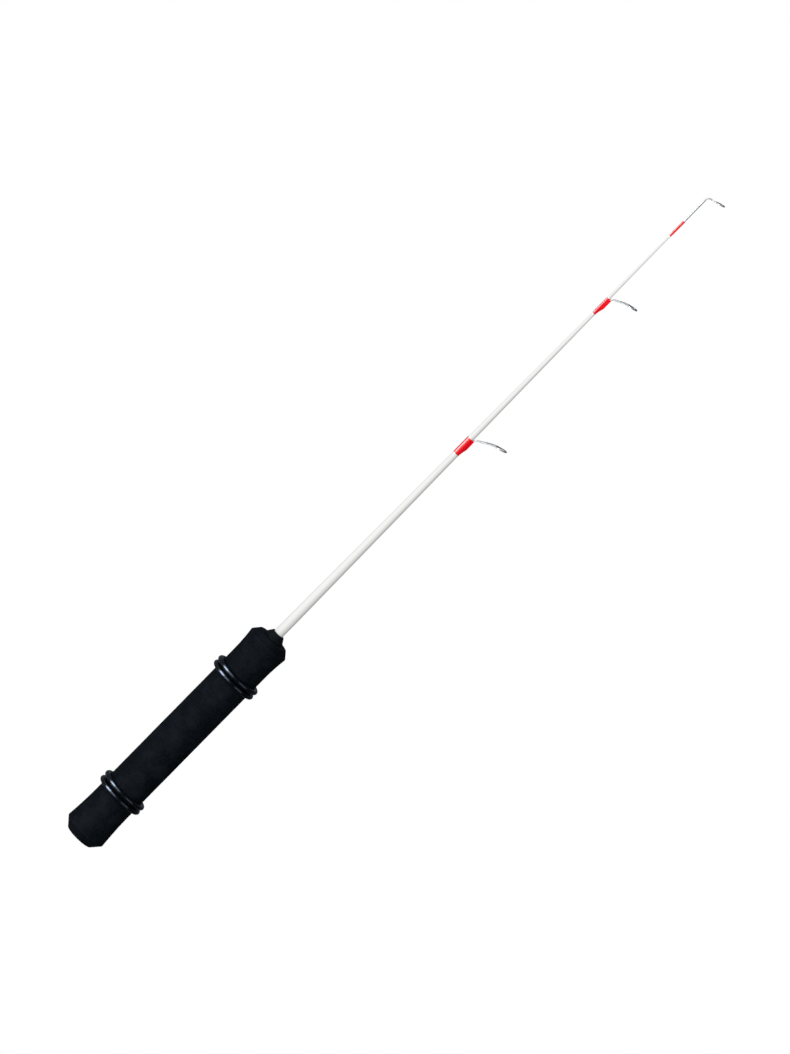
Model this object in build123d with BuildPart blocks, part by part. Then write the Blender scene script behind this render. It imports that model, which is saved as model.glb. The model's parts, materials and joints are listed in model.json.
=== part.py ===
from build123d import *
from collections import namedtuple
from math import cos, radians, sin
import os

# Ice fishing rod: foam grip with two pairs of reel rings, tapered glass blank, two hanging line
# guides and a tip-top. Lengths are millimetres. The origin is the centre of the butt face, +X runs
# along the rod to the tip, +Z is up, and the guides hang toward -Z.

glue_gap = 0.02  # radial gap left for glue between bonded pieces

# Grip: closed-cell foam, straight in the middle and flared at both ends
grip_length = 188.5
grip_radius = 14.3
grip_bore_radius = 4.8
butt_face_radius = 10.2
butt_chamfer_length = 6.4
butt_flare_radius = 15.6
butt_flare_end = 36.0
front_flare_start = 165.5
front_flare_radius = 15.5
front_chamfer_length = 4.8
front_face_radius = 11.6
grip_corner_fillet = 0.9

# Blank: solid glass, nearly parallel inside the grip and tapered in front of it
blank_butt = 14.0
blank_butt_radius = 3.8
blank_butt_chamfer = 0.5
taper_start = 207.0
taper_start_radius = 3.55
tip_shoulder = 571.0
tip_shoulder_radius = 0.63
tip_spigot_radius = 0.5
blank_tip = 600.0

# Pieces between the blank and the grip
plug_length = 12.0
plug_chamfer = 0.6
bushing_length = 18.0
rear_bushing_start = 20.0
front_bushing_start = 168.0
check_base_radius = 7.5
check_base_length = 0.8
check_length = 5.2
check_front_radius = 4.6
check_fillet = 0.3

# Reel rings: rubber rings that roll along the grip and over the ends of a reel foot
ring_section_radius = 1.75
ring_clearance = 0.05
rear_outer_ring_x = 40.0
rear_inner_ring_x = 44.4
front_inner_ring_x = 150.0
front_outer_ring_x = 154.2

# Wraps: the thread covers the foot of a guide, and the clear finish covers the thread
thread_thickness = 0.2
finish_thickness = 0.14
finish_overrun = 1.1
finish_end_cover = 0.2
finish_end_swell = 0.9
wrap_length = 14.1
rest_radius_share = 0.5
rest_drop_share = 0.54
toe_swell = 0.3

# Wire of the hanging guides
foot_lead = 2.2
foot_ramp = 4.8
foot_toe_radius = 0.15
foot_overrun = 0.4
leg_radius = 0.42
leg_root_overlap = 0.6
leg_root_spread = 0.38
leg_root_splay = 0.1
knee_forward = 0.21
knee_drop = 0.41
knee_spread = 0.62
leg_seat_angle = 46.0
leg_seat_rake = 0.25
leg_seat_splay = 0.05
brace_radius = 0.32
brace_drop = 0.62

# Rings of the guides
band_thickness = 0.5
band_fillet_share = 0.3
insert_overhang = 0.05
insert_lip_share = 0.3
insert_outer_fillet = 0.2
Guide = namedtuple("Guide", "wrap_end foot_radius ring_x drop lean radius hole_radius band_width")
lower_guide = Guide(378.7, 0.5, 387.8, 19.4, 15.0, 4.55, 3.6, 0.8)
upper_guide = Guide(510.9, 0.62, 517.5, 15.7, 12.0, 3.9, 2.95, 0.8)

# Tip-top
tube_radius = 0.7
tube_bore_radius = 0.55
tube_start = 571.2
tube_end = 603.3
tip_wrap_start = 569.7
tip_wrap_length = 13.5
stem_radius = 0.5
stem_start = 600.3
stem_bend_radius = 3.1
stem_split_drop = 4.1
tip_ring_x = 608.2
tip_ring_drop = 9.5
tip_ring_lean = 16.0
tip_ring_radius = 3.2
tip_hole_radius = 2.3
tip_band_thickness = 0.45
tip_band_width = 0.8
tip_leg_radius = 0.4
tip_leg_overlap = 0.5
tip_leg_spread = 0.12
tip_leg_splay = 0.3
tip_finish_end = 0.3
tip_finish_start = 0.2
tip_finish_start_share = 0.6
tip_finish_bulge = 0.06
tip_finish_bulge_x = 2.0

taper_rate = (taper_start_radius - tip_shoulder_radius) / (tip_shoulder - taper_start)
butt_rate = (blank_butt_radius - taper_start_radius) / (taper_start - blank_butt)


def blank_radius(x):
    """Radius of the blank at a distance x from the butt face."""
    if x < taper_start:
        return blank_butt_radius - butt_rate * (x - blank_butt)
    return taper_start_radius - taper_rate * (x - taper_start)


def circle_edges(builder, radius):
    """Circular edges of the part in progress that have a given radius."""
    circles = builder.edges().filter_by(GeomType.CIRCLE)
    return circles.filter_by(lambda edge: abs(edge.radius - radius) < 1e-4)


def save(builder, name):
    """Name a finished piece and write its solid."""
    builder.part.label = name
    export_step(builder.part, f"parts/{name}.step")


os.makedirs("parts", exist_ok=True)

# ---------------------------------------------------------------- grip and blank

with BuildPart() as blank:
    with BuildSketch():
        with BuildLine():
            Polyline(
                (blank_butt, 0),
                (blank_butt, blank_butt_radius),
                (taper_start, taper_start_radius),
                (tip_shoulder, tip_shoulder_radius),
                (tip_shoulder, tip_spigot_radius),
                (blank_tip, tip_spigot_radius),
                (blank_tip, 0),
                close=True,
            )
        make_face()
    revolve(axis=Axis.X)
    chamfer(circle_edges(blank, blank_butt_radius), blank_butt_chamfer)
save(blank, "blank")

front_corner = grip_length - front_chamfer_length
with BuildPart() as grip:
    with BuildSketch():
        with BuildLine():
            straight = Line((butt_flare_end, grip_radius), (front_flare_start, grip_radius))
            butt_flare = TangentArc(
                straight @ 0, (butt_chamfer_length, butt_flare_radius), tangent=(-1, 0)
            )
            front_flare = TangentArc(
                straight @ 1, (front_corner, front_flare_radius), tangent=(1, 0)
            )
            Polyline(
                butt_flare @ 1,
                (0, butt_face_radius),
                (0, grip_bore_radius),
                (grip_length, grip_bore_radius),
                (grip_length, front_face_radius),
                front_flare @ 1,
            )
        make_face()
    revolve(axis=Axis.X)
    for corner_radius in (butt_face_radius, butt_flare_radius, front_flare_radius, front_face_radius):
        fillet(circle_edges(grip, corner_radius), grip_corner_fillet)
save(grip, "grip")

with BuildPart() as butt_plug:
    with BuildSketch(Plane.YZ):
        Circle(grip_bore_radius - glue_gap)
    extrude(amount=plug_length)
    chamfer(butt_plug.edges().group_by(Axis.X)[-1], plug_chamfer)
save(butt_plug, "butt_plug")


def make_bushing(name, start):
    """Tape sleeve that centres the blank in the bore of the grip."""
    with BuildPart() as bushing:
        with BuildSketch(Plane.YZ.offset(start)):
            Circle(grip_bore_radius - glue_gap)
            Circle(blank_radius(start) + glue_gap, mode=Mode.SUBTRACT)
        extrude(amount=bushing_length)
    save(bushing, name)


make_bushing("rear_bushing", rear_bushing_start)
make_bushing("front_bushing", front_bushing_start)

with BuildPart() as winding_check:
    with BuildSketch():
        with BuildLine():
            check_hole_radius = blank_radius(grip_length) + glue_gap
            Polyline(
                (grip_length, check_hole_radius),
                (grip_length, check_base_radius),
                (grip_length + check_base_length, check_base_radius),
                (grip_length + check_length, check_front_radius),
                (grip_length + check_length, check_hole_radius),
                close=True,
            )
        make_face()
    revolve(axis=Axis.X)
    fillet(circle_edges(winding_check, check_front_radius), check_fillet)
    fillet(circle_edges(winding_check, check_base_radius), check_fillet)
save(winding_check, "winding_check")


def make_reel_ring(name, x):
    """Rubber ring round the straight of the grip."""
    with BuildPart() as ring:
        with BuildSketch():
            with Locations((x, grip_radius + ring_clearance + ring_section_radius)):
                Circle(ring_section_radius)
        revolve(axis=Axis.X)
    save(ring, name)


make_reel_ring("rear_ring_outer", rear_outer_ring_x)
make_reel_ring("rear_ring_inner", rear_inner_ring_x)
make_reel_ring("front_ring_inner", front_inner_ring_x)
make_reel_ring("front_ring_outer", front_outer_ring_x)

# ---------------------------------------------------------------- rings of the guides


def ring_plane(x, drop, lean):
    """Plane of a guide ring: local Z is the ring's axis, local -X points up at the blank."""
    axis = (cos(radians(lean)), 0, sin(radians(lean)))
    down = (sin(radians(lean)), 0, -cos(radians(lean)))
    return Plane(origin=(x, 0, -drop), x_dir=down, z_dir=axis)


def make_band(name, plane, radius, thickness, width):
    """Metal band that holds a ceramic ring."""
    with BuildPart() as band:
        with BuildSketch(plane):
            Circle(radius)
            Circle(radius - thickness, mode=Mode.SUBTRACT)
        extrude(amount=width / 2, both=True)
        fillet(circle_edges(band, radius), band_fillet_share * thickness)
    save(band, name)


def make_insert(name, plane, radius, hole_radius, width):
    """Ceramic ring with a short straight land and rounded lips."""
    with BuildPart() as insert:
        with BuildSketch(plane):
            Circle(radius)
            Circle(hole_radius, mode=Mode.SUBTRACT)
        extrude(amount=width / 2, both=True)
        fillet(circle_edges(insert, hole_radius), insert_lip_share * width)
        fillet(circle_edges(insert, radius), insert_outer_fillet)
    save(insert, name)


# ---------------------------------------------------------------- hanging guides


def foot_section(guide, x):
    """Radius and centre height of a guide's foot at a station under the thread."""
    toe = guide.wrap_end - wrap_length + foot_lead
    share = min(max((x - toe) / foot_ramp, 0), 1)
    radius = foot_toe_radius + share * (guide.foot_radius - foot_toe_radius)
    return radius, -(blank_radius(x) + radius + glue_gap)


def wrap_body(guide, overlay, overrun):
    """Body of thread or finish pulled round the blank and the guide foot together."""
    wrap_start = guide.wrap_end - wrap_length
    toe = wrap_start + foot_lead
    stations = [
        (wrap_start, 1, 0),
        (toe, 1, toe_swell),
        (toe + foot_ramp, 1, 1),
        (guide.wrap_end, 1, 1),
    ]
    if overrun:
        stations.insert(0, (wrap_start - overrun, finish_end_cover, 0))
        stations.append((guide.wrap_end + overrun, finish_end_cover, finish_end_swell))
    with BuildPart() as body:
        for x, cover, swell in stations:
            body_radius = blank_radius(x) + overlay * cover
            foot_radius, foot_height = foot_section(guide, x)
            rest_radius = rest_radius_share * body_radius
            rest_height = -rest_drop_share * body_radius
            radius = rest_radius + swell * (foot_radius + overlay * cover - rest_radius)
            height = rest_height + swell * (foot_height - rest_height)
            with BuildSketch(Plane.YZ.offset(x)):
                Circle(body_radius)
                with Locations((0, height)):
                    Circle(radius)
                make_hull()
        loft(ruled=True)
    return body.part


def make_frame(guide, plane):
    """Wire frame of a guide: tapered foot, two legs and a cross brace between them."""
    toe = guide.wrap_end - wrap_length + foot_lead
    _, heel_height = foot_section(guide, guide.wrap_end)
    seat_along = -guide.radius * cos(radians(leg_seat_angle))
    seat_across = guide.radius * sin(radians(leg_seat_angle))
    knee_x = guide.wrap_end + knee_forward * guide.drop
    with BuildPart() as frame:
        for x in (toe, toe + foot_ramp, guide.wrap_end + foot_overrun):
            foot_radius, foot_height = foot_section(guide, x)
            with BuildSketch(Plane.YZ.offset(x)):
                with Locations((0, foot_height)):
                    Circle(foot_radius)
        loft(ruled=True)
        for side in (-1, 1):
            root_x = guide.wrap_end - leg_root_overlap
            seat = plane.from_local_coords((seat_along, side * seat_across, 0))
            with BuildLine() as leg:
                Spline(
                    (root_x, side * leg_root_spread, heel_height),
                    (knee_x, side * knee_spread * seat_across, -knee_drop * guide.drop),
                    (seat.X, seat.Y, seat.Z),
                    tangents=[
                        (1, side * leg_root_splay, 0),
                        (leg_seat_rake, side * leg_seat_splay, -1),
                    ],
                )
            with BuildSketch(Plane(origin=leg.line @ 0, z_dir=leg.line % 0)):
                Circle(leg_radius)
            sweep(path=leg.line)
            if side < 0:
                brace_at = leg.wire() @ brace_drop
        with BuildSketch(Plane(origin=(brace_at.X, 0, brace_at.Z), z_dir=(0, 1, 0))):
            Circle(brace_radius)
        extrude(amount=abs(brace_at.Y), both=True)
        with BuildSketch(plane):
            Circle(guide.radius)
        extrude(amount=guide.radius, both=True, mode=Mode.SUBTRACT)
    return frame


def make_guide(name, guide):
    """One hanging guide: wire frame, band, ceramic ring, thread and clear finish."""
    plane = ring_plane(guide.ring_x, guide.drop, guide.lean)
    frame = make_frame(guide, plane)
    save(frame, f"{name}_frame")
    make_band(f"{name}_band", plane, guide.radius, band_thickness, guide.band_width)
    insert_radius = guide.radius - band_thickness - glue_gap
    insert_width = guide.band_width + 2 * insert_overhang
    make_insert(f"{name}_insert", plane, insert_radius, guide.hole_radius, insert_width)

    covered = wrap_body(guide, thread_thickness, 0)
    with BuildPart() as thread:
        add(covered)
        add(blank.part, mode=Mode.SUBTRACT)
        add(frame.part, mode=Mode.SUBTRACT)
    save(thread, f"{name}_thread")

    with BuildPart() as finish:
        add(wrap_body(guide, thread_thickness + finish_thickness, finish_overrun))
        add(covered, mode=Mode.SUBTRACT)
        add(blank.part, mode=Mode.SUBTRACT)
        add(frame.part, mode=Mode.SUBTRACT)
    save(finish, f"{name}_finish")


make_guide("lower_guide", lower_guide)
make_guide("upper_guide", upper_guide)

# ---------------------------------------------------------------- tip-top

with BuildPart() as tip_tube:
    with BuildSketch(Plane.YZ.offset(tube_start)):
        Circle(tube_radius)
        Circle(tube_bore_radius, mode=Mode.SUBTRACT)
    extrude(amount=tube_end - tube_start)
save(tip_tube, "tip_tube")

tip_plane = ring_plane(tip_ring_x, tip_ring_drop, tip_ring_lean)
tip_seat_along = -tip_ring_radius * cos(radians(leg_seat_angle))
tip_seat_across = tip_ring_radius * sin(radians(leg_seat_angle))
with BuildPart() as tip_frame:
    with BuildLine(Plane.XZ) as stem:
        stem_run = Line((stem_start, 0), (tube_end, 0))
        stem_bend = RadiusArc(
            stem_run @ 1, (tube_end + stem_bend_radius, -stem_bend_radius), stem_bend_radius
        )
        Line(stem_bend @ 1, (tube_end + stem_bend_radius, -stem_split_drop))
    with BuildSketch(Plane(origin=stem.line @ 0, z_dir=(1, 0, 0))):
        Circle(stem_radius)
    sweep(path=stem.line)
    for side in (-1, 1):
        seat = tip_plane.from_local_coords((tip_seat_along, side * tip_seat_across, 0))
        root_height = tip_leg_overlap - stem_split_drop
        with BuildLine() as leg:
            Spline(
                (tube_end + stem_bend_radius, side * tip_leg_spread, root_height),
                (seat.X, seat.Y, seat.Z),
                tangents=[
                    (0, side * tip_leg_splay, -1),
                    (leg_seat_rake, side * tip_leg_splay, -1),
                ],
            )
        with BuildSketch(Plane(origin=leg.line @ 0, z_dir=leg.line % 0)):
            Circle(tip_leg_radius)
        sweep(path=leg.line)
    with BuildSketch(tip_plane):
        Circle(tip_ring_radius)
    extrude(amount=tip_ring_radius, both=True, mode=Mode.SUBTRACT)
save(tip_frame, "tip_frame")

make_band("tip_band", tip_plane, tip_ring_radius, tip_band_thickness, tip_band_width)
tip_insert_radius = tip_ring_radius - tip_band_thickness - glue_gap
tip_insert_width = tip_band_width + 2 * insert_overhang
make_insert("tip_insert", tip_plane, tip_insert_radius, tip_hole_radius, tip_insert_width)

tip_wrap_end = tip_wrap_start + tip_wrap_length
thread_crest = tube_radius + glue_gap + thread_thickness
tube_cover_radius = tube_radius + glue_gap
blank_cover_radius = blank_radius(tip_wrap_start) + glue_gap
with BuildPart() as tip_thread:
    with BuildSketch():
        with BuildLine():
            Polyline(
                (tip_wrap_start, blank_cover_radius),
                (tip_wrap_start, blank_cover_radius + thread_thickness),
                (tube_start, thread_crest),
                (tip_wrap_end, thread_crest),
                (tip_wrap_end, tube_cover_radius),
                (tube_start - glue_gap, tube_cover_radius),
                (tube_start - glue_gap, blank_cover_radius),
                close=True,
            )
        make_face()
    revolve(axis=Axis.X)
save(tip_thread, "tip_thread")

finish_start_radius = blank_radius(tip_wrap_start - finish_overrun) + glue_gap
finish_crest = thread_crest + finish_thickness
with BuildPart() as tip_finish:
    with BuildSketch():
        with BuildLine():
            Polyline(
                (tip_wrap_start - finish_overrun, finish_start_radius),
                (tip_wrap_start - glue_gap, finish_start_radius),
                (tip_wrap_start - glue_gap, blank_cover_radius + thread_thickness + glue_gap),
                (tube_start, thread_crest + glue_gap),
                (tip_wrap_end + glue_gap, thread_crest + glue_gap),
                (tip_wrap_end + glue_gap, tube_cover_radius),
                (tip_wrap_end + finish_overrun, tube_cover_radius),
                (tip_wrap_end + tip_finish_end, finish_crest),
                (tube_start + tip_finish_bulge_x, finish_crest + tip_finish_bulge),
                (
                    tip_wrap_start - tip_finish_start,
                    thread_crest + tip_finish_start_share * finish_thickness,
                ),
                close=True,
            )
        make_face()
    revolve(axis=Axis.X)
save(tip_finish, "tip_finish")
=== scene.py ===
import json
from collections import namedtuple
from math import acos, atan2, cos, exp, hypot, pi, radians, sin, sqrt, tan, tau

import bmesh
import bpy
from mathutils import Matrix, Vector, noise

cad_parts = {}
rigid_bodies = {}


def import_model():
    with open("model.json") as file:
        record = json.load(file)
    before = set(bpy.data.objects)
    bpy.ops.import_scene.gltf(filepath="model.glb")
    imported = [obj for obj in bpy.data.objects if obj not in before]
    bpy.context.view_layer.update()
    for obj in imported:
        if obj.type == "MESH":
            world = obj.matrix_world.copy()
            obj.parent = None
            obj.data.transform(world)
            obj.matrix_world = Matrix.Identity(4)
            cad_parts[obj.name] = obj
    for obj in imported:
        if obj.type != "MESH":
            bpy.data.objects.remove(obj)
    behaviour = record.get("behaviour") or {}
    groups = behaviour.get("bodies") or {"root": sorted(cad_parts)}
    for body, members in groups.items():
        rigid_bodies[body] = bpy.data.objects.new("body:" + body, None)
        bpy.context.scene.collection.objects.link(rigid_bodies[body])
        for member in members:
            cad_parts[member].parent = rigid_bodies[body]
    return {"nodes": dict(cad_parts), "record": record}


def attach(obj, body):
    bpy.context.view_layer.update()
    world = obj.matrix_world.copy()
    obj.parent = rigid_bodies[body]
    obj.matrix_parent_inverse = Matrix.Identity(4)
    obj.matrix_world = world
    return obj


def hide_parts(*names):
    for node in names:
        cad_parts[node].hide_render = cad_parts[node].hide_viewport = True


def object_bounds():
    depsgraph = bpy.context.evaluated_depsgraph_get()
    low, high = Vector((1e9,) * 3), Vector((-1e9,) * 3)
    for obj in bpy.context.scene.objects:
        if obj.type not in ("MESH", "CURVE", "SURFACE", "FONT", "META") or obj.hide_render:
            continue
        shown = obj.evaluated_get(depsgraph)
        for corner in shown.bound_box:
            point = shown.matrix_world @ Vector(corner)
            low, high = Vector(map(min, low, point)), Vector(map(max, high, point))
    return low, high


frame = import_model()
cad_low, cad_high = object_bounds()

# Looks of an ice fishing rod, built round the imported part. Everything is in metres in the row
# frame: the rod lies along +X with its butt face at the origin and its guides toward -Z.

MM = 0.001
ROD = "rod"
X_AXIS = Vector((1, 0, 0))

# Grip outline
BUTT_FACE_RADIUS = 10.2 * MM
BUTT_CHAMFER = 6.4 * MM
BUTT_FLARE_RADIUS = 15.6 * MM
BUTT_FLARE_END = 36.0 * MM
FRONT_FLARE_START = 165.5 * MM
FRONT_FLARE_RADIUS = 15.5 * MM
FRONT_CHAMFER = 4.8 * MM
FRONT_FACE_RADIUS = 11.6 * MM
GRIP_FILLET = 0.9 * MM
BORE_FILLET = 0.25 * MM
RING_CLEARANCE = 0.05 * MM  # between a reel ring and the straight of the grip
FOAM_WAVE = 0.045 * MM
FOAM_PITS = 0.018 * MM

# Pieces round the blank
PLUG_FILLET = 0.3 * MM
PLUG_CHAMFER = 0.6 * MM
BUSHING_FILLET = 0.2 * MM
CREPE_RELIEF = 0.01 * MM
CHECK_BASE_LENGTH = 0.8 * MM
CHECK_FRONT_RADIUS = 4.6 * MM
MOULD_LINE_HEIGHT = 0.035 * MM
MOULD_LINE_WIDTH = 0.035  # in half turns round the ring's section
RING_SKEW = {  # how far each reel ring leans in its seat
    "rear_ring_outer": radians(1.0),
    "rear_ring_inner": radians(1.9),
    "front_ring_inner": radians(1.2),
    "front_ring_outer": radians(1.2),
}
BLANK_SPACING = 2.5 * MM
BLANK_RELIEF = 0.012 * MM
SHOULDER_LENGTH = 0.05 * MM

# Thread, its clear finish and the wire foot under them
THREAD_THICKNESS = 0.2 * MM
THREAD_PITCH = 0.27 * MM
THREAD_GROOVE = 0.015 * MM
THREAD_RAMP = 4.0 * MM
THREAD_EDGE_SHARE = 0.4  # thickness at the start of the ramp, as a share of the full one
THREAD_END_SHARE = 0.35  # thickness of the outermost turns' edges
STATIONS_PER_TURN = 9
FINISH_THICKNESS = 0.14 * MM
FINISH_WAVE = 0.008 * MM
FINISH_EDGE = 0.015 * MM
FINISH_SPACING = 0.14 * MM
FINISH_RISE = 1.6  # lengths of both slopes of the finish, in overruns past the thread
FINISH_FALL = 1.3
SKIN_GAP = 0.01 * MM
WRAP_COLUMNS = 72
FOOT_LEAD = 2.2 * MM
FOOT_RAMP = 4.8 * MM
FOOT_TOE_RADIUS = 0.15 * MM
FOOT_RADIUS = {"lower_guide": 0.5 * MM, "upper_guide": 0.62 * MM, "tip": 0}  # the tip has no foot
TOE_SWELL = 0.2  # share of the swelling that comes before the foot's toe
TOE_SWELL_END = 0.6  # share of the lead where the rest of the swelling begins
GLUE_GAP = 0.02 * MM

# Wire frames of the guides
LEG_RADIUS = 0.42 * MM
LEG_ROOT_SPREAD = 0.38 * MM
LEG_ROOT_DEPTH = 0.6 * MM
LEG_SEAT_ANGLE = radians(46)
KNEE_FORWARD = 0.21  # the knee's place, in shares of the ring's drop and of the seats' spread
KNEE_DROP = 0.41
KNEE_SPREAD = 0.62
BRACE_RADIUS = 0.32 * MM
BRACE_SHARE = 0.62  # how far down the legs the brace sits
FOOT_OVERRUN = 0.4 * MM
GUIDE_SOLDER = 0.62 * MM
TIP_SOLDER = 0.52 * MM
STEM_RADIUS = 0.5 * MM
STEM_BEND_RADIUS = 3.1 * MM
STEM_SPLIT_DROP = 4.1 * MM
STEM_FORK_OVERLAP = 0.5 * MM
STEM_ROOT_SPREAD = 0.12 * MM
BEND_STEPS = 16
WIRE_VOXEL = 0.065 * MM
WIRE_DOME = (0.35, 0.7, 0.95)  # stations of a wire's domed end, in radii

# Guide rings and the tip tube
BAND_LIP = 0.16 * MM
BAND_BORE_FILLET = 0.05 * MM
INSERT_RIM_FILLET = 0.2 * MM
INSERT_LIP_SHARE = 0.3
TUBE_START_FILLET = 0.08 * MM
TUBE_END_FILLET = 0.12 * MM
TUBE_BORE_FILLET = 0.05 * MM

# Light, floor and camera
TILT = radians(9.5)  # the tip is nearer the viewer than the butt
RISE = radians(-0.35)  # the camera looks from just under the floor's level, so the floor hides
ROLL = radians(45.41)  # the rod climbs to the upper right of the picture
LENS = 500
SENSOR = 36
PICTURE_HEIGHT = 702.3 * MM
MIDDLE = (cad_low + cad_high) / 2
AIM = MIDDLE + Vector((-4.35 * MM, 0, -2.4 * MM))
FLOOR_REACH = 4.0
FLOOR_GAP = 0.3 * MM
FLOOR_FADE = (0.45, 1.1)
KEY_WAY = (0.0, -0.88, 0.47)
GLEAM_WAY = (0.0, -0.53, 0.85)
LOW_GLEAM_WAY = (0.0, -0.67, -0.74)


# ---------------------------------------------------------------- measuring the CAD part

def mount(name):
    """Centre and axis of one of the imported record's mounts, the axis pointing toward the tip."""
    found = next(m for m in frame["record"]["mounts"] if m["name"] == name)
    return Vector(found["pos_m"]), -Vector(found["axis"]).normalized()


def turned(node, origin=Vector(), axis=X_AXIS):
    """Start, end, smallest and largest radius of a CAD node about an axis."""
    along, radii = [], []
    for vertex in frame["nodes"][node].data.vertices:
        offset = vertex.co - origin
        height = offset.dot(axis)
        along.append(height)
        radii.append((offset - axis * height).length)
    return min(along), max(along), min(radii), max(radii)


def blank_outline():
    """Stations along the blank and its radius at each of them, from the CAD mesh."""
    widest = {}
    for vertex in frame["nodes"]["blank"].data.vertices:
        station = round(vertex.co.x, 5)
        widest[station] = max(widest.get(station, 0.0), hypot(vertex.co.y, vertex.co.z))
    return sorted(widest.items())


BLANK_STATIONS = blank_outline()


def blank_radius(x):
    """Radius of the blank at a station along the rod."""
    for (x0, r0), (x1, r1) in zip(BLANK_STATIONS, BLANK_STATIONS[1:]):
        if x <= x1:
            return r0 + (r1 - r0) * (x - x0) / (x1 - x0)
    return BLANK_STATIONS[-1][1]


# ---------------------------------------------------------------- meshes

def add_piece(name, verts, faces, look, nodes, body=ROD):
    """Object of the rod that stands for some CAD nodes and moves with one body."""
    mesh = bpy.data.meshes.new(name)
    mesh.from_pydata(verts, [], faces)
    build = bmesh.new()
    build.from_mesh(mesh)
    bmesh.ops.remove_doubles(build, verts=build.verts, dist=1e-7)
    bmesh.ops.recalc_face_normals(build, faces=build.faces)
    build.to_mesh(mesh)
    build.free()
    mesh.shade_smooth()
    mesh.materials.append(look)
    piece = bpy.data.objects.new(name, mesh)
    bpy.context.scene.collection.objects.link(piece)
    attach(piece, body)
    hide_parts(*nodes)
    return piece


def grid_faces(rows, columns):
    """Quads between neighbouring rings of columns, the last row joined to the first."""
    faces = []
    for row in range(rows):
        below = row * columns
        above = (row + 1) % rows * columns
        for column in range(columns):
            following = (column + 1) % columns
            faces.append((below + column, below + following, above + following, above + column))
    return faces


def rounded(corners, steps=6):
    """Closed outline through (x, radius, fillet) corners, each fillet drawn as an arc."""
    outline = []
    for index, (x, radius, fillet) in enumerate(corners):
        corner = Vector((x, radius))
        if not fillet:
            outline.append((x, radius))
            continue
        back = (Vector(corners[index - 1][:2]) - corner).normalized()
        ahead = (Vector(corners[(index + 1) % len(corners)][:2]) - corner).normalized()
        half = acos(max(-1, min(1, back.dot(ahead)))) / 2
        centre = corner + (back + ahead).normalized() * fillet / sin(half)
        start = corner + back * fillet / tan(half) - centre
        end = corner + ahead * fillet / tan(half) - centre
        turn = start.angle_signed(end)
        for step in range(steps + 1):
            spoke = start.copy()
            spoke.rotate(Matrix.Rotation(-turn * step / steps, 2))
            outline.append(tuple(centre + spoke))
    return outline


def refined(outline, spacing):
    """Outline with extra points on its long straights."""
    dense = []
    for (x0, r0), (x1, r1) in zip(outline, outline[1:] + outline[:1]):
        parts = max(1, round(hypot(x1 - x0, r1 - r0) / spacing))
        for part in range(parts):
            share = part / parts
            dense.append((x0 + (x1 - x0) * share, r0 + (r1 - r0) * share))
    return dense


def lathe(outline, segments, relief=None, placing=Matrix.Identity(4)):
    """Vertices and faces of a closed outline turned about X; relief adds to the radius."""
    verts = []
    for x, radius in outline:
        for segment in range(segments):
            angle = tau * segment / segments
            swollen = radius + (relief(x, radius, angle) if relief else 0)
            verts.append(placing @ Vector((x, swollen * sin(angle), swollen * cos(angle))))
    return verts, grid_faces(len(outline), segments)


def along_axis(centre, axis):
    """Matrix that takes X at the origin to an axis in the XZ plane through a centre."""
    return Matrix.Translation(centre) @ Matrix.Rotation(-atan2(axis.z, axis.x), 4, "Y")


# ---------------------------------------------------------------- materials

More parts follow.
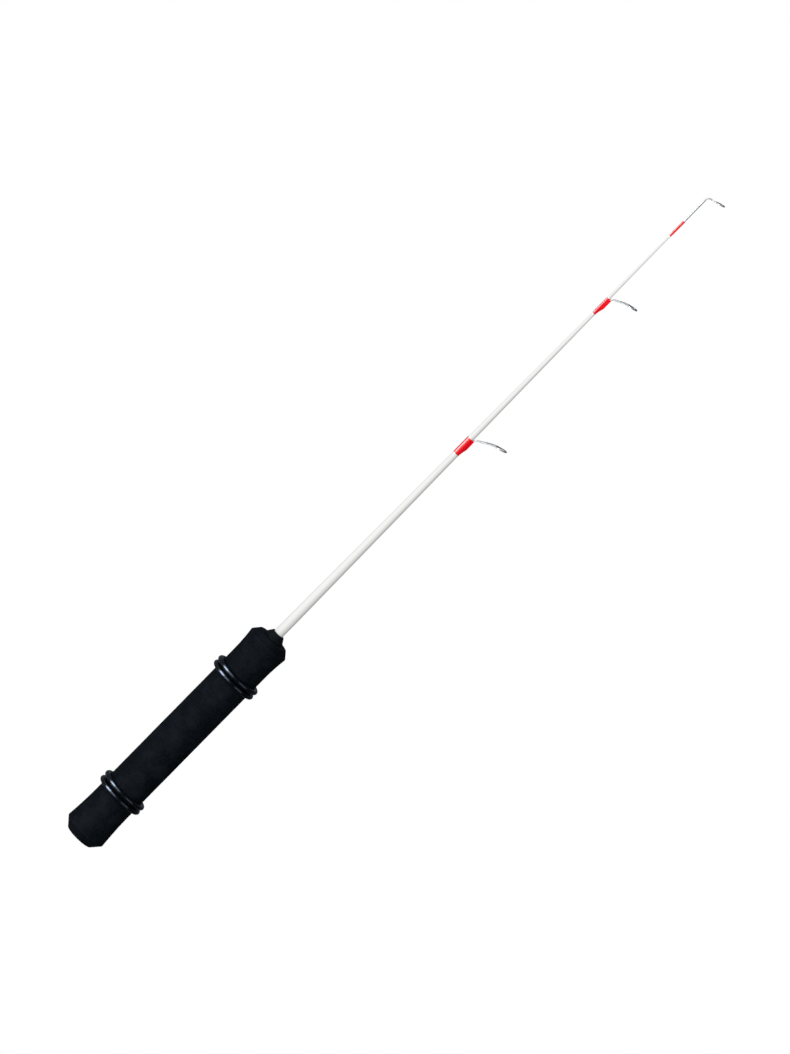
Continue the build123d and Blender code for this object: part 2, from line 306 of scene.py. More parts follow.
class Look:
    """Principled material fed by chains of procedural nodes in object coordinates."""

    def __init__(self, name, **settings):
        self.material = bpy.data.materials.new(name)
        self.material.use_nodes = True
        self.tree = self.material.node_tree
        self.shader = self.tree.nodes["Principled BSDF"]
        self.place = self.add("ShaderNodeTexCoord").outputs["Object"]
        self.bump_normal = None
        for label, value in settings.items():
            self.shader.inputs[label.replace("_", " ")].default_value = value

    def add(self, kind, **settings):
        node = self.tree.nodes.new(kind)
        for label, value in settings.items():
            setattr(node, label, value)
        return node

    def feed(self, socket, source):
        if hasattr(source, "is_output"):
            self.tree.links.new(source, socket)
        else:
            socket.default_value = source

    def stretched(self, x, y, z):
        """Object coordinates scaled per axis, for streaks and bands."""
        node = self.add("ShaderNodeMapping")
        self.feed(node.inputs["Vector"], self.place)
        node.inputs["Scale"].default_value = (x, y, z)
        return node.outputs["Vector"]

    def noise(self, scale, detail=3, roughness=0.5, place=None):
        node = self.add("ShaderNodeTexNoise")
        self.feed(node.inputs["Vector"], place or self.place)
        node.inputs["Scale"].default_value = scale
        node.inputs["Detail"].default_value = detail
        node.inputs["Roughness"].default_value = roughness
        return node.outputs["Fac"]

    def cells(self, scale):
        node = self.add("ShaderNodeTexVoronoi")
        self.feed(node.inputs["Vector"], self.place)
        node.inputs["Scale"].default_value = scale
        return node.outputs["Distance"]

    def edge_wear_and_highlight(self, low, high):
        """0 on flats and 1 on convex edges; used for worn edges, and on the foam for a painted edge
        highlight.
        """
        return self.spread(self.add("ShaderNodeNewGeometry").outputs["Pointiness"], low, high)

    def spread(self, source, low, high, start=0.0, end=1.0):
        node = self.add("ShaderNodeMapRange")
        self.feed(node.inputs["Value"], source)
        node.inputs["From Min"].default_value = low
        node.inputs["From Max"].default_value = high
        node.inputs["To Min"].default_value = start
        node.inputs["To Max"].default_value = end
        return node.outputs["Result"]

    def sums(self, kind, first, second):
        node = self.add("ShaderNodeMath", operation=kind)
        self.feed(node.inputs[0], first)
        self.feed(node.inputs[1], second)
        return node.outputs["Value"]

    def blend(self, share, first, second):
        node = self.add("ShaderNodeMix", data_type="RGBA")
        self.feed(node.inputs[0], share)
        self.feed(node.inputs[6], first)
        self.feed(node.inputs[7], second)
        return node.outputs[2]

    def bump(self, height, depth, strength=1.0):
        """Adds a layer of bump, depth in metres between heights 0 and 1."""
        node = self.add("ShaderNodeBump")
        node.inputs["Strength"].default_value = strength
        node.inputs["Distance"].default_value = depth
        self.feed(node.inputs["Height"], height)
        if self.bump_normal:
            self.feed(node.inputs["Normal"], self.bump_normal)
        self.bump_normal = node.outputs["Normal"]

    def done(self, colour=None, roughness=None):
        if colour is not None:
            self.feed(self.shader.inputs["Base Color"], colour)
        if roughness is not None:
            self.feed(self.shader.inputs["Roughness"], roughness)
        if self.bump_normal:
            self.feed(self.shader.inputs["Normal"], self.bump_normal)
        return self.material


def grey(value, warmth=0.0):
    """Grey colour; a negative warmth is bluish."""
    return (value * (1 + warmth), value, value * (1 - warmth), 1)


FOAM_DARK = (0.0006, 0.0015, 0.0026, 1)
FOAM_PALE = (0.0052, 0.0098, 0.0168, 1)
FOAM_DUSTY = (0.0090, 0.0145, 0.0225, 1)
# Painted highlight: the lighter colour laid along the foam's convex edges, where they would catch the
# light
FOAM_EDGE_HIGHLIGHT = (0.020, 0.028, 0.038, 1)
GEL_DULL = (0.815, 0.815, 0.80, 1)
GEL_WHITE = (0.84, 0.84, 0.83, 1)
GEL_AGED = (0.81, 0.81, 0.785, 1)
THREAD_DEEP = (0.95, 0.0, 0.006, 1)
THREAD_BRIGHT = (1.0, 0.0, 0.017, 1)
CERAMIC_DARK = (0.085, 0.082, 0.105, 1)
CERAMIC_PALE = (0.150, 0.140, 0.155, 1)
TAPE_DARK = (0.48, 0.36, 0.17, 1)
TAPE_PALE = (0.62, 0.49, 0.27, 1)
RUBBER_TINT = (0.62, 0.76, 1.0, 1)


def foam_look(name, painted_edge_highlight):
    """Closed-cell foam, ground to shape on a lathe: fine cells, faint rings, and where asked a painted
    highlight along its convex edges.
    """
    look = Look(name, Specular_IOR_Level=0.10)
    cells = look.cells(2600)
    grain = look.noise(1100, 4, 0.65)
    blotches = look.noise(600, 4, 0.6)
    patches = look.noise(90, 3, 0.55)
    rings = look.noise(1, 4, 0.6, look.stretched(1500, 120, 120))
    colour = look.blend(look.spread(grain, 0.32, 0.68), FOAM_DARK, FOAM_PALE)
    colour = look.blend(look.spread(cells, 0.1, 0.6, 0.5, 0.0), colour, FOAM_DARK)
    colour = look.blend(look.spread(blotches, 0.38, 0.62, 0.8, 0.0), colour, FOAM_DARK)
    colour = look.blend(look.spread(patches, 0.45, 0.72, 0.0, 0.45), colour, FOAM_DUSTY)
    # Painted highlight: a broken lighter line along the convex edges, standing for light caught by the
    # foam's rounded edges
    if painted_edge_highlight:
        edges = look.sums("MULTIPLY", look.edge_wear_and_highlight(0.508, 0.54), look.spread(grain, 0.3, 0.6))
        colour = look.blend(edges, colour, FOAM_EDGE_HIGHLIGHT)
    look.bump(cells, 0.10 * MM, 0.6)
    look.bump(grain, 0.22 * MM, 0.7)
    look.bump(rings, 0.10 * MM, 0.6)
    return look.done(colour, look.spread(grain, 0.3, 0.7, 0.62, 0.78))


def rubber_look():
    """Moulded black rubber with a soft gloss, slightly scuffed and dusty."""
    look = Look("ring_rubber", Specular_IOR_Level=0.5)
    look.shader.inputs["Specular Tint"].default_value = RUBBER_TINT
    scuffs = look.noise(420, 5, 0.6)
    grain = look.noise(3200, 3, 0.5)
    dust = look.spread(look.noise(700, 6, 0.7), 0.56, 0.78)
    colour = look.blend(look.sums("MULTIPLY", dust, 0.3), grey(0.0012, -0.3), grey(0.009, -0.2))
    look.bump(scuffs, 0.015 * MM, 0.3)
    look.bump(grain, 0.003 * MM, 0.3)
    return look.done(colour, look.spread(scuffs, 0.3, 0.75, 0.15, 0.26))


def blank_look():
    """Off-white gel coat over glass, with faint lengthwise fibre showing through."""
    look = Look("glass_blank", Specular_IOR_Level=0.12)
    fibre = look.noise(1, 3, 0.5, look.stretched(12, 700, 700))
    mottle = look.noise(60, 3, 0.5)
    colour = look.blend(look.spread(fibre, 0.35, 0.7), GEL_DULL, GEL_WHITE)
    colour = look.blend(look.spread(mottle, 0.5, 0.75, 0, 0.3), colour, GEL_AGED)
    look.bump(fibre, 0.003 * MM, 0.2)
    return look.done(colour, look.spread(mottle, 0.3, 0.7, 0.38, 0.5))


def check_look():
    """Dark moulded plastic with a fine satin grain and worn edges."""
    look = Look("check_plastic", Specular_IOR_Level=0.14)
    grain = look.noise(1700, 4, 0.6)
    rub = look.noise(300, 5, 0.6)
    colour = look.blend(look.spread(rub, 0.35, 0.7), grey(0.004, -0.4), grey(0.009, -0.4))
    colour = look.blend(look.edge_wear_and_highlight(0.51, 0.6), colour, grey(0.05, -0.12))
    look.bump(grain, 0.03 * MM, 0.6)
    return look.done(colour, look.spread(rub, 0.3, 0.7, 0.42, 0.62))


def thread_look():
    """Red nylon winding thread: lighter and darker strands with twisted filaments."""
    look = Look("wrap_thread", Specular_IOR_Level=0.08)
    strands = look.noise(1, 3, 0.55, look.stretched(7500, 260, 260))
    filaments = look.noise(1, 2, 0.5, look.stretched(30000, 2200, 2200))
    colour = look.blend(look.spread(strands, 0.3, 0.7), THREAD_DEEP, THREAD_BRIGHT)
    look.bump(filaments, 0.004 * MM, 0.4)
    return look.done(colour, look.spread(strands, 0.3, 0.7, 0.3, 0.5))


def finish_look():
    """Clear epoxy: shows the thread and mirrors the lights, more so at grazing angles."""
    look = Look("wrap_finish")
    clear = look.add("ShaderNodeBsdfTransparent")
    gloss = look.add("ShaderNodeBsdfGlossy")
    gloss.inputs["Color"].default_value = (1, 1, 1, 1)
    look.bump(look.noise(300, 2, 0.5), 0.006 * MM, 0.3)
    look.feed(gloss.inputs["Normal"], look.bump_normal)
    look.feed(gloss.inputs["Roughness"], look.spread(look.noise(900, 3), 0.3, 0.7, 0.30, 0.36))
    fresnel = look.add("ShaderNodeFresnel")
    fresnel.inputs["IOR"].default_value = 1.5
    behind = look.add("ShaderNodeNewGeometry").outputs["Backfacing"]
    outside = look.sums("SUBTRACT", 1.0, behind)
    mix = look.add("ShaderNodeMixShader")
    look.feed(mix.inputs[0], look.sums("MULTIPLY", fresnel.outputs["Fac"], outside))
    look.feed(mix.inputs[1], clear.outputs[0])
    look.feed(mix.inputs[2], gloss.outputs[0])
    output = look.tree.nodes["Material Output"]
    look.feed(output.inputs["Surface"], mix.outputs[0])
    look.tree.nodes.remove(look.shader)
    return look.material


def steel_look():
    """Drawn stainless wire and band: fine draw lines, duller patches, worn edges."""
    look = Look("guide_steel", Metallic=0.4)
    lines = look.noise(1, 3, 0.5, look.stretched(500, 4200, 4200))
    stain = look.noise(420, 4, 0.6)
    colour = look.blend(look.spread(stain, 0.35, 0.72), grey(0.44, -0.03), grey(0.35, -0.02))
    colour = look.blend(look.edge_wear_and_highlight(0.56, 0.7), colour, grey(0.50))
    look.bump(lines, 0.002 * MM, 0.3)
    return look.done(colour, look.spread(stain, 0.3, 0.7, 0.5, 0.62))


def ceramic_look():
    """Polished dark ceramic ring."""
    look = Look("guide_ceramic", Specular_IOR_Level=0.5)
    cloud = look.noise(800, 4, 0.6)
    colour = look.blend(look.spread(cloud, 0.35, 0.7), CERAMIC_DARK, CERAMIC_PALE)
    look.bump(look.noise(2600, 3), 0.002 * MM, 0.3)
    return look.done(colour, look.spread(cloud, 0.3, 0.7, 0.2, 0.3))


def tape_look():
    """Creped masking tape, wound into a sleeve."""
    look = Look("masking_tape", Specular_IOR_Level=0.3)
    crepe = look.noise(1, 4, 0.6, look.stretched(2400, 500, 500))
    colour = look.blend(look.spread(crepe, 0.3, 0.7), TAPE_DARK, TAPE_PALE)
    look.bump(crepe, 0.08 * MM, 0.7)
    return look.done(colour, look.spread(crepe, 0.3, 0.7, 0.7, 0.9))


GRIP_FOAM = foam_look("grip_foam", painted_edge_highlight=True)
PLUG_FOAM = foam_look("plug_foam", painted_edge_highlight=False)
RUBBER = rubber_look()
BLANK = blank_look()
CHECK = check_look()
THREAD = thread_look()
FINISH = finish_look()
STEEL = steel_look()
CERAMIC = ceramic_look()
TAPE = tape_look()


# ---------------------------------------------------------------- grip

def flare(x_from, r_from, x_to, r_to, steps=22):
    """Points of an arc that leaves the straight of the grip level and climbs to a flared end."""
    run, rise = abs(x_to - x_from), r_to - r_from
    bend = (run * run + rise * rise) / (2 * rise)
    points = []
    for step in range(1, steps):
        share = step / steps
        x = x_from + (x_to - x_from) * share
        points.append((x, r_from + bend - sqrt(bend * bend - (run * share) ** 2), 0))
    return points


def foam_relief(x, radius, angle):
    """Hand-ground unevenness of the foam, a few hundredths of a millimetre."""
    place = Vector((x * 60, radius * sin(angle) * 60, radius * cos(angle) * 60))
    return FOAM_WAVE * noise.noise(place) + FOAM_PITS * noise.noise(place * 9)


def make_grip():
    start, end, bore, _ = turned("grip")
    ring_bore = turned("rear_ring_outer")[2]
    straight = ring_bore - RING_CLEARANCE
    corners = [
        (start, bore, BORE_FILLET),
        (start, BUTT_FACE_RADIUS, GRIP_FILLET),
        (start + BUTT_CHAMFER, BUTT_FLARE_RADIUS, GRIP_FILLET),
    ]
    corners += reversed(flare(BUTT_FLARE_END, straight, start + BUTT_CHAMFER, BUTT_FLARE_RADIUS))
    corners += [(BUTT_FLARE_END, straight, 0), (FRONT_FLARE_START, straight, 0)]
    corners += flare(FRONT_FLARE_START, straight, end - FRONT_CHAMFER, FRONT_FLARE_RADIUS)
    corners += [
        (end - FRONT_CHAMFER, FRONT_FLARE_RADIUS, GRIP_FILLET),
        (end, FRONT_FACE_RADIUS, GRIP_FILLET),
        (end, bore, BORE_FILLET),
    ]

    def relief(x, radius, angle):
        return foam_relief(x, radius, angle) if radius > bore * 1.3 else 0

    verts, faces = lathe(refined(rounded(corners), 0.9 * MM), 176, relief)
    add_piece("grip_foam", verts, faces, GRIP_FOAM, ["grip"])


def make_plug():
    start, end, _, radius = turned("butt_plug")
    corners = [(start, 0, 0), (start, radius, PLUG_FILLET), (end, radius, PLUG_CHAMFER), (end, 0, 0)]
    outline = refined(rounded(corners)[:-1], 0.8 * MM)
    verts, faces = lathe(outline, 72, lambda x, r, a: foam_relief(x, r, a) * min(1, r / radius))
    add_piece("butt_plug_foam", verts, faces, PLUG_FOAM, ["butt_plug"])


def make_bushing(node):
    start, end, inner, outer = turned(node)
    corners = [
        (start, inner, 0),
        (start, outer, BUSHING_FILLET),
        (end, outer, BUSHING_FILLET),
        (end, inner, 0),
    ]

    def crepe(x, radius, angle):
        return CREPE_RELIEF * (noise.noise(Vector((x * 900, angle * 2, radius * 900))) - 0.5)

    verts, faces = lathe(refined(rounded(corners), 0.6 * MM), 64, crepe)
    add_piece(node + "_tape", verts, faces, TAPE, [node])


def make_check():
    start, end, hole, base = turned("winding_check")
    corners = [
        (start, hole, 0),
        (start, base, 0.2 * MM),
        (start + CHECK_BASE_LENGTH, base, 0.35 * MM),
        (end, CHECK_FRONT_RADIUS, 0.4 * MM),
        (end, hole, 0.3 * MM),
    ]
    verts, faces = lathe(refined(rounded(corners, 8), 0.25 * MM), 128)
    add_piece("winding_check_body", verts, faces, CHECK, ["winding_check"])


def make_reel_ring(node, body):
    """Rubber ring with a faint mould line round its outside, leaning slightly in its seat."""
    start, end, inner, outer = turned(node)
    section = (outer - inner) / 2
    middle = (start + end) / 2
    around, across = 256, 56
    outline = []
    for step in range(across):
        angle = tau * step / across
        flash = MOULD_LINE_HEIGHT * exp(-((sin(angle / 2 - pi / 4)) / MOULD_LINE_WIDTH) ** 2)
        reach = section + flash
        outline.append((reach * cos(angle), inner + section + reach * sin(angle)))
    placing = Matrix.Translation((middle, 0, 0)) @ Matrix.Rotation(RING_SKEW[node], 4, "Y")
    verts, faces = lathe(outline, around, placing=placing)
    add_piece(node + "_rubber", verts, faces, RUBBER, [node], body)


# ---------------------------------------------------------------- blank

def make_blank():
    butt, butt_radius = BLANK_STATIONS[0]
    shoulder = BLANK_STATIONS[-2][0]
    tip, spigot = BLANK_STATIONS[-1]
    outline = [(butt, 0), (butt, butt_radius)]
    x = BLANK_STATIONS[1][0]
    while x < shoulder - 1 * MM:
        outline.append((x, blank_radius(x)))
        x += BLANK_SPACING
    outline += [
        (shoulder, blank_radius(shoulder)),
        (shoulder + SHOULDER_LENGTH, spigot),
        (tip, spigot),
        (tip, 0),
    ]

    def relief(x, radius, angle):
        if radius < spigot * 1.3:
            return 0
        return BLANK_RELIEF * noise.noise(Vector((x * 90, cos(angle) * 1.5, sin(angle) * 1.5)))

    verts, faces = lathe(outline, 72, relief)
    add_piece("blank_glass", verts, faces, BLANK, ["blank"])


# ---------------------------------------------------------------- thread and finish

def hull_ring(body, foot, height, count):
    """Points and outward normals (y, z) of a band pulled tight over the blank and the foot."""
    if foot <= 0 or body - foot >= -height:
        steps = [tau * k / count for k in range(count)]
        return [((body * sin(a), body * cos(a)), (sin(a), cos(a))) for a in steps]
    drop = -height
    lean = acos((body - foot) / drop)
    big_arc = body * (pi - lean)
    side = sqrt(drop * drop - (body - foot) ** 2)
    small_arc = foot * lean
    half = big_arc + side + small_arc
    ring = []
    for k in range(count):
        travel = 2 * half * k / count
        sign = 1 if travel <= half else -1
        travel = min(travel, 2 * half - travel)
        if travel <= big_arc:
            angle = travel / body
            point = (body * sin(angle), body * cos(angle))
        elif travel <= big_arc + side:
            angle = pi - lean
            share = (travel - big_arc) / side
            point = (
                (body + (foot - body) * share) * sin(angle),
                (body + (foot - body) * share) * cos(angle) - drop * share,
            )
        else:
            angle = pi - lean + (travel - big_arc - side) / foot
            point = (foot * sin(angle), foot * cos(angle) - drop)
        ring.append(((sign * point[0], point[1]), (sign * sin(angle), cos(angle))))
    return ring


def smooth(value):
    """Eased step from 0 to 1."""
    value = max(0.0, min(1.0, value))
    return value * value * (3 - 2 * value)


# Where a thread starts and ends, a function for the radius it is wound on, and its foot's radius
Wrap = namedtuple("Wrap", "start end core foot")


def measured_wrap(name):
    """Extent of a guide's thread, what it is wound round and how thick the foot under it is."""
    start, end, _, _ = turned(name + "_thread")
    if FOOT_RADIUS[name]:
        return Wrap(start, end, blank_radius, FOOT_RADIUS[name])
    tube_radius = turned("tip_tube")[3]
    return Wrap(start, end, lambda x: max(blank_radius(x), tube_radius), 0)


def foot_at(wrap, x):
    """Radius and height of the wire foot's centre at a station; it swells from its toe."""
    share = max(0.0, min(1.0, (x - wrap.start - FOOT_LEAD) / FOOT_RAMP))
    radius = FOOT_TOE_RADIUS + share * (wrap.foot - FOOT_TOE_RADIUS)
    return radius, -(wrap.core(x) + radius + GLUE_GAP)


def wrapped_section(wrap, x, cover, count):
    """Band of a given cover over the core, swelling over the foot where there is one."""
    body = wrap.core(x) + cover
    if not wrap.foot:
        return hull_ring(body, 0, 0, count)
    radius, height = foot_at(wrap, x)
    travel = x - wrap.start
    swell = TOE_SWELL * smooth(travel / FOOT_LEAD)
    swell += (1 - TOE_SWELL) * smooth((travel - TOE_SWELL_END * FOOT_LEAD) / FOOT_RAMP)
    rest = 0.5 * body
    radius = rest + swell * (radius + cover - rest)
    return hull_ring(body, radius, swell * (height + rest) - rest, count)


def sleeve(wrap, stations, cover_out, cover_in, count, groove=None):
    """Closed sleeve: outer skin from end to end, then the inner skin back."""
    verts = []
    for cover, order in ((cover_out, stations), (cover_in, stations[::-1])):
        for x in order:
            ring = wrapped_section(wrap, x, cover(x), count)
            for k, ((y, z), (ny, nz)) in enumerate(ring):
                dip = groove(x, k / count) if groove and cover is cover_out else 0
                verts.append((x, y - ny * dip, z - nz * dip))
    return verts, grid_faces(2 * len(stations), count)


def steps_between(start, end, spacing):
    """Even stations from start to end, about the spacing apart."""
    parts = max(2, round((end - start) / spacing))
    return [start + (end - start) * part / parts for part in range(parts + 1)]


def make_wrap(name):
    """Wound thread as real ridges, and the clear finish that covers it and runs past its ends."""
    wrap = measured_wrap(name)
    start, end = wrap.start, wrap.end

    def groove(x, share):
        phase = (x / THREAD_PITCH + share) % 1.0
        return THREAD_GROOVE * (1 - sqrt(max(0.0, 1 - (2 * phase - 1) ** 2)))

    def thread_crest(x):
        ramp = smooth((x - start) / THREAD_RAMP)
        return THREAD_THICKNESS * (THREAD_EDGE_SHARE + (1 - THREAD_EDGE_SHARE) * ramp)

    def thread_cover(x):
        edge = min(x - start, end - x) / (0.5 * THREAD_PITCH)
        return thread_crest(x) * (THREAD_END_SHARE + (1 - THREAD_END_SHARE) * min(1.0, edge) ** 0.5)

    stations = steps_between(start, end, THREAD_PITCH / STATIONS_PER_TURN)
    verts, faces = sleeve(wrap, stations, thread_cover, lambda x: SKIN_GAP, WRAP_COLUMNS, groove)
    nodes = [name + "_thread"]
    add_piece(name + "_thread_winding", verts, faces, THREAD, nodes)

    finish_start, finish_end, _, _ = turned(name + "_finish")
    overrun = finish_end - end

    def finish_cover(x):
        rise = smooth((x - finish_start) / (FINISH_RISE * overrun))
        fall = smooth((finish_end - x) / (FINISH_FALL * overrun))
        wave = FINISH_WAVE * noise.noise(Vector((x * 160, 3.1, 0)))
        crest = thread_crest(x) + FINISH_THICKNESS + wave
        return FINISH_EDGE + (crest - FINISH_EDGE) * min(rise, fall)

    def inner_cover(x):
        over_thread = start - FINISH_EDGE < x < end + FINISH_EDGE
        beneath = thread_crest(x) + SKIN_GAP if over_thread else 0.8 * SKIN_GAP
        return min(finish_cover(x) - SKIN_GAP, beneath)

    stations = steps_between(finish_start, finish_end, FINISH_SPACING)
    verts, faces = sleeve(wrap, stations, finish_cover, inner_cover, WRAP_COLUMNS)
    nodes = [name + "_finish"]
    add_piece(name + "_finish_coat", verts, faces, FINISH, nodes)


# ---------------------------------------------------------------- wire frames and rings

def curve_through(points, start_way, end_way, steps):
    """Smooth curve through points with set end directions, by cubic Hermite spans."""
    ways = [Vector(start_way).normalized()]
    for before, here, after in zip(points, points[1:], points[2:]):
        back, ahead = here - before, after - here
        ways.append((back / back.length_squared + ahead / ahead.length_squared).normalized())
    ways.append(Vector(end_way).normalized())
    path = [points[0]]
    for p, q, leaving, arriving in zip(points, points[1:], ways, ways[1:]):
        reach = (q - p).length
        for step in range(1, steps + 1):
            t = step / steps
            path.append(
                p * (2 * t**3 - 3 * t**2 + 1)
                + leaving * reach * (t**3 - 2 * t**2 + t)
                + q * (3 * t**2 - 2 * t**3)
                + arriving * reach * (t**3 - t**2)
            )
    return path


def wire(build, path, radius_at, sides=20):
    """Adds a round wire along a path to a bmesh, with domed ends."""
    count = len(path)
    crosswise = abs((path[-1] - path[0]).normalized().y) > 0.7
    side_way = X_AXIS if crosswise else Vector((0, 1, 0))
    rings = []
    for index, point in enumerate(path):
        way = (path[min(index + 1, count - 1)] - path[max(index - 1, 0)]).normalized()
        side_way = (side_way - way * side_way.dot(way)).normalized()
        up_way = way.cross(side_way)
        radius = radius_at(index / (count - 1))
        ends = [0.0]
        if index == 0:
            ends = [-end for end in reversed(WIRE_DOME)] + ends
        elif index == count - 1:
            ends += WIRE_DOME
        for end in ends:
            reach = radius * sqrt(1 - end * end)
            centre = point + way * radius * end
            rings.append([
                build.verts.new(centre + (side_way * cos(a) + up_way * sin(a)) * reach)
                for a in (tau * k / sides for k in range(sides))
            ])
    for ring, following in zip(rings, rings[1:]):
        for k in range(sides):
            build.faces.new((ring[k], ring[(k + 1) % sides], following[(k + 1) % sides], following[k]))
    build.faces.new(rings[0][::-1])
    build.faces.new(rings[-1])


def bead(build, centre, radius):
    """Adds a ball of solder to a bmesh."""
    bmesh.ops.create_icosphere(build, subdivisions=3, radius=radius, matrix=Matrix.Translation(centre))


def fuse(name, build, nodes):
    """Fuses overlapping wires and solder into one skin with soft inside corners."""
    bmesh.ops.recalc_face_normals(build, faces=build.faces)
    rough = bpy.data.meshes.new(name + "_rough")
    build.to_mesh(rough)
    build.free()
    holder = bpy.data.objects.new(name + "_rough", rough)
    bpy.context.scene.collection.objects.link(holder)
    remesh = holder.modifiers.new("fuse", "REMESH")
    remesh.mode = "VOXEL"
    remesh.voxel_size = WIRE_VOXEL
    soften = holder.modifiers.new("soften", "SMOOTH")
    soften.factor = 0.5
    soften.iterations = 5
    graph = bpy.context.evaluated_depsgraph_get()
    fused = bpy.data.meshes.new_from_object(holder.evaluated_get(graph), depsgraph=graph)
    verts = [v.co.copy() for v in fused.vertices]
    faces = [tuple(p.vertices) for p in fused.polygons]
    bpy.data.objects.remove(holder)
    bpy.data.meshes.remove(rough)
    bpy.data.meshes.remove(fused)
    return add_piece(name, verts, faces, STEEL, nodes)


def leg_seats(centre, axis, radius):
    """Places on a band, left and right, where the legs are soldered to it."""
    rise = Vector((-axis.z, 0, axis.x)) * radius * cos(LEG_SEAT_ANGLE)
    spread = radius * sin(LEG_SEAT_ANGLE)
    return [centre + rise + Vector((0, side * spread, 0)) for side in (-1, 1)]


def make_ring(name, mount_name):
    """Metal band and the ceramic ring pressed into it."""
    centre, axis = mount(mount_name)
    placing = along_axis(centre, axis)
    low, high, inner, outer = turned(name + "_band", centre, axis)
    corners = [
        (low, inner, BAND_BORE_FILLET),
        (low, outer, BAND_LIP),
        (high, outer, BAND_LIP),
        (high, inner, BAND_BORE_FILLET),
    ]
    verts, faces = lathe(refined(rounded(corners), 0.16 * MM), 112, placing=placing)
    add_piece(name + "_band_steel", verts, faces, STEEL, [name + "_band"])

    low, high, hole, rim = turned(name + "_insert", centre, axis)
    lip = INSERT_LIP_SHARE * (high - low)
    corners = [
        (low, hole, lip),
        (low, rim, INSERT_RIM_FILLET),
        (high, rim, INSERT_RIM_FILLET),
        (high, hole, lip),
    ]
    verts, faces = lathe(refined(rounded(corners, 10), 0.14 * MM), 112, placing=placing)
    nodes = [name + "_insert"]
    add_piece(name + "_insert_ceramic", verts, faces, CERAMIC, nodes)
    return centre, axis, outer


def make_hanging_frame(name, centre, axis, band_radius):
    """Wire frame of a hanging guide: foot under the thread, two legs, a cross brace, solder."""
    wrap = measured_wrap(name)
    heel = wrap.end
    build = bmesh.new()
    foot_path, foot_radii = [], []
    for x in steps_between(wrap.start + FOOT_LEAD, heel + FOOT_OVERRUN, 0.5 * MM):
        radius, height = foot_at(wrap, x)
        foot_path.append(Vector((x, 0, height)))
        foot_radii.append(radius)
    wire(build, foot_path, lambda share: foot_radii[round(share * (len(foot_radii) - 1))])
    _, heel_height = foot_at(wrap, heel)
    drop = -centre.z
    braces = []
    for side, seat in zip((-1, 1), leg_seats(centre, axis, band_radius)):
        root = Vector((heel - LEG_ROOT_DEPTH, side * LEG_ROOT_SPREAD, heel_height))
        knee = Vector((heel + KNEE_FORWARD * drop, KNEE_SPREAD * seat.y, -KNEE_DROP * drop))
        path = curve_through([root, knee, seat], (1, side * 0.1, 0), (0.25, side * 0.05, -1), 22)
        wire(build, path, lambda share: LEG_RADIUS)
        bead(build, seat, GUIDE_SOLDER)
        braces.append(path[round(BRACE_SHARE * (len(path) - 1))])
    wire(build, [braces[0].lerp(braces[1], k / 8) for k in range(9)], lambda share: BRACE_RADIUS)
    fuse(name + "_frame_wire", build, [name + "_frame"])


def make_tip_frame(centre, axis, band_radius):
    """Bent stem of the tip-top that forks to the two sides of its ring."""
    tube_end = turned("tip_tube")[1]
    stem_start = turned("tip_frame")[0]
    corner = Vector((tube_end, 0, 0))
    bend_x = tube_end + STEM_BEND_RADIUS
    path = [Vector((stem_start, 0, 0)), corner]
    for step in range(1, BEND_STEPS + 1):
        angle = pi / 2 * step / BEND_STEPS
        path.append(corner + Vector((sin(angle), 0, cos(angle) - 1)) * STEM_BEND_RADIUS)
    path.append(Vector((bend_x, 0, -STEM_SPLIT_DROP)))
    build = bmesh.new()
    wire(build, path, lambda share: STEM_RADIUS)
    for side, seat in zip((-1, 1), leg_seats(centre, axis, band_radius)):
        root = Vector((bend_x, side * STEM_ROOT_SPREAD, -STEM_SPLIT_DROP + STEM_FORK_OVERLAP))
        legs = curve_through([root, seat], (0, side * 0.25, -1), (0.25, side * 0.3, -1), 24)
        wire(build, legs, lambda share: LEG_RADIUS)
        bead(build, seat, TIP_SOLDER)
    bead(build, corner + Vector((0.1 * MM, 0, 0)), GUIDE_SOLDER)
    fuse("tip_frame_wire", build, ["tip_frame"])


def make_tip_tube():
    start, end, inner, outer = turned("tip_tube")
    corners = [
        (start, inner, 0),
        (start, outer, TUBE_START_FILLET),
        (end, outer, TUBE_END_FILLET),
        (end, inner, TUBE_BORE_FILLET),
    ]
    verts, faces = lathe(refined(rounded(corners, 4), 0.5 * MM), 48)
    add_piece("tip_tube_steel", verts, faces, STEEL, ["tip_tube"])


make_grip()
make_plug()
make_bushing("rear_bushing")
make_bushing("front_bushing")
make_check()
make_blank()
make_reel_ring("rear_ring_outer", "rear_outer_ring")
make_reel_ring("rear_ring_inner", "rear_inner_ring")
make_reel_ring("front_ring_inner", "front_inner_ring")
make_reel_ring("front_ring_outer", "front_outer_ring")
for guide in ("lower_guide", "upper_guide"):
    make_hanging_frame(guide, *make_ring(guide, guide + "_ring"))
    make_wrap(guide)
make_tip_frame(*make_ring("tip", "tip_guide_ring"))
make_tip_tube()
make_wrap("tip")


# ---------------------------------------------------------------- stage, light and camera

toward = Vector((-sin(TILT) * cos(RISE), cos(TILT) * cos(RISE), -sin(RISE)))
level = toward.cross(Vector((0, 0, 1))).normalized()
above = level.cross(toward)
right = level * cos(ROLL) - above * sin(ROLL)
upward = level * sin(ROLL) + above * cos(ROLL)

camera = bpy.data.objects.new("camera", bpy.data.cameras.new("camera"))
bpy.context.scene.collection.objects.link(camera)
camera.data.lens = LENS
camera.data.sensor_width = SENSOR
camera.data.clip_end = 60
turn = Matrix((right, upward, -toward)).transposed().to_4x4()
camera.matrix_world = Matrix.Translation(AIM - toward * PICTURE_HEIGHT * LENS / SENSOR) @ turn
bpy.context.scene.camera = camera


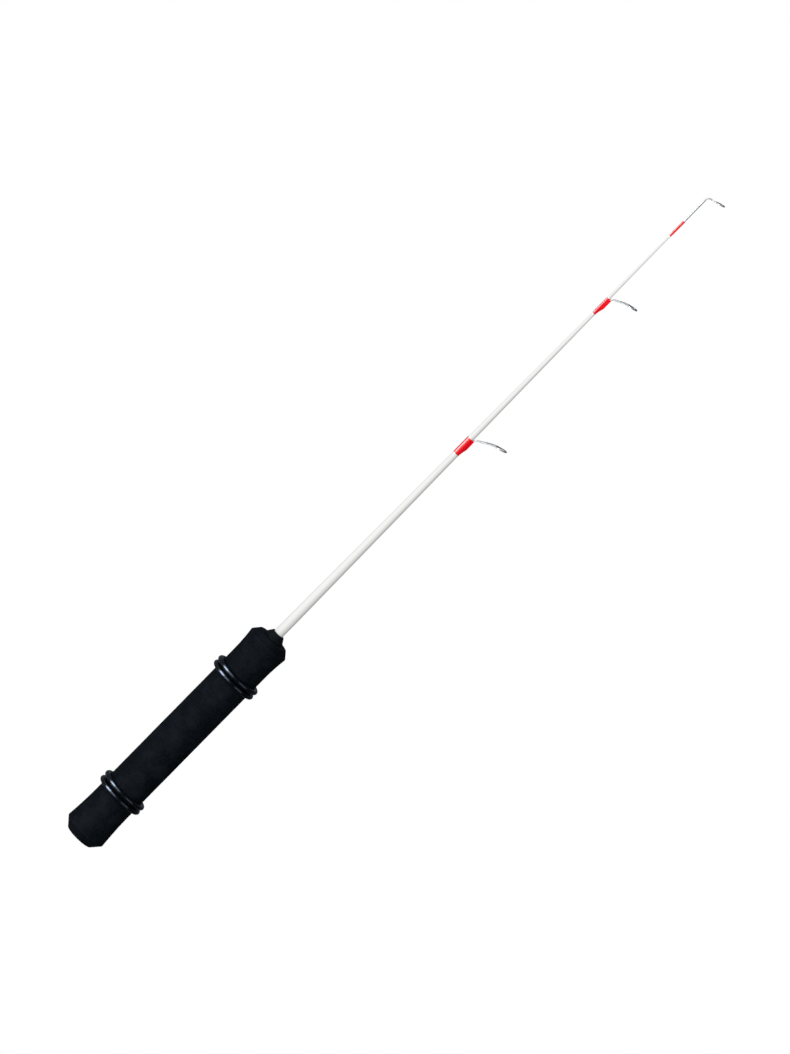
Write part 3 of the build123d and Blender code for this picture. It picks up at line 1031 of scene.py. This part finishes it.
def make_floor():
    """Pale floor under the rod, seen from above only, that fades out into the background."""
    mesh = bpy.data.meshes.new("floor")
    height = cad_low.z - FLOOR_GAP
    corners = ((-1, -1), (1, -1), (1, 1), (-1, 1))
    verts = [(MIDDLE.x + x * FLOOR_REACH, y * FLOOR_REACH, height) for x, y in corners]
    mesh.from_pydata(verts, [], [(0, 1, 2, 3)])
    floor = bpy.data.objects.new("floor", mesh)
    bpy.context.scene.collection.objects.link(floor)
    look = Look("floor", Specular_IOR_Level=0.0, Emission_Strength=0.14)
    look.shader.inputs["Emission Color"].default_value = grey(1.0)
    look.material.cycles.emission_sampling = "NONE"  # it only lifts the floor, it lights nothing
    output = look.tree.nodes["Material Output"]
    clear = look.add("ShaderNodeBsdfTransparent")
    hide = look.add("ShaderNodeMixShader")
    away = look.add("ShaderNodeVectorMath", operation="DISTANCE")
    look.feed(away.inputs[0], look.place)
    away.inputs[1].default_value = (MIDDLE.x, 0, height)
    fade = look.spread(away.outputs["Value"], *FLOOR_FADE)
    behind = look.add("ShaderNodeNewGeometry").outputs["Backfacing"]
    look.feed(hide.inputs[0], look.sums("MAXIMUM", fade, behind))
    look.feed(hide.inputs[1], look.shader.outputs[0])
    look.feed(hide.inputs[2], clear.outputs[0])
    look.feed(output.inputs["Surface"], hide.outputs[0])
    mottle = look.noise(90, 3)
    look.done(look.blend(mottle, grey(0.90), grey(0.93)), 0.9)
    mesh.materials.append(look.material)
    floor.visible_diffuse = False
    floor.visible_glossy = False


def make_world():
    """White to the camera, pale from above to grey below for matt surfaces, dim in reflections."""
    world = bpy.data.worlds.new("studio")
    bpy.context.scene.world = world
    world.use_nodes = True
    world.cycles.sampling_method = "NONE"  # it's even enough to be found without aiming at it
    tree = world.node_tree
    heading = tree.nodes.new("ShaderNodeTexCoord")
    split = tree.nodes.new("ShaderNodeSeparateXYZ")
    height = tree.nodes.new("ShaderNodeMapRange")
    height.inputs["From Min"].default_value = -1
    path = tree.nodes.new("ShaderNodeLightPath")
    tree.links.new(heading.outputs["Generated"], split.inputs[0])
    tree.links.new(split.outputs["Z"], height.inputs["Value"])

    def room(below, overhead):
        """Background that goes from one colour underneath to another overhead."""
        shade = tree.nodes.new("ShaderNodeMix")
        shade.data_type = "RGBA"
        tree.links.new(height.outputs["Result"], shade.inputs[0])
        shade.inputs[6].default_value = below
        shade.inputs[7].default_value = overhead
        backdrop = tree.nodes.new("ShaderNodeBackground")
        tree.links.new(shade.outputs[2], backdrop.inputs["Color"])
        return backdrop.outputs[0]

    def choose(ray, otherwise, chosen):
        """One background for a kind of ray and another for every other kind."""
        mix = tree.nodes.new("ShaderNodeMixShader")
        tree.links.new(path.outputs[ray], mix.inputs[0])
        tree.links.new(otherwise, mix.inputs[1])
        tree.links.new(chosen, mix.inputs[2])
        return mix.outputs[0]

    light = room(grey(0.41), grey(0.50))
    light = choose("Is Glossy Ray", light, room(grey(0.05, -0.15), grey(0.20, -0.12)))
    light = choose("Is Camera Ray", light, room(grey(1.0), grey(1.0)))
    tree.links.new(light, tree.nodes["World Output"].inputs["Surface"])


def receivers_of(name, endings):
    """Collection of the pieces, found by the ends of their names, that one lamp is made for."""
    chosen = bpy.data.collections.new(name + "_receivers")
    for piece in bpy.context.scene.objects:
        if piece.type == "MESH" and piece.name.endswith(endings):
            chosen.objects.link(piece)
    return chosen


def make_lamp(name, way, distance, width, height, power, receivers=None):
    """Soft box aimed at the middle of the rod; one with receivers only shines in their gloss."""
    lamp = bpy.data.objects.new(name, bpy.data.lights.new(name, "AREA"))
    bpy.context.scene.collection.objects.link(lamp)
    lamp.data.shape = "RECTANGLE"
    lamp.data.size = width
    lamp.data.size_y = height
    lamp.data.energy = power
    lamp.visible_camera = False
    if receivers:
        lamp.visible_diffuse = False
        lamp.light_linking.receiver_collection = receivers
    lamp.location = MIDDLE + Vector(way).normalized() * distance
    facing = (MIDDLE - lamp.location).normalized()
    across = facing.cross(X_AXIS).normalized()
    along = across.cross(facing)
    turn = Matrix((across, along, -facing)).transposed()
    lamp.rotation_mode = "QUATERNION"
    lamp.rotation_quaternion = turn.to_quaternion()


make_floor()
make_world()
make_lamp("key", KEY_WAY, distance=1.5, width=0.9, height=2.0, power=19)
HARD_GLOSS = ("_rubber", "_steel", "_wire", "_ceramic")
SHINY = receivers_of("gleam", HARD_GLOSS)
make_lamp("gleam", GLEAM_WAY, distance=1.35, width=0.7, height=1.8, power=80, receivers=SHINY)
COATED = receivers_of("coat_gleam", ("_coat",))
make_lamp("coat_gleam", GLEAM_WAY, distance=1.2, width=0.16, height=1.8, power=75, receivers=COATED)
GLOSSY = receivers_of("low_gleam", HARD_GLOSS + ("_coat",))
make_lamp("low_gleam", LOW_GLEAM_WAY, distance=1.6, width=1.2, height=1.8, power=9, receivers=GLOSSY)
bpy.context.scene.view_settings.view_transform = "Standard"
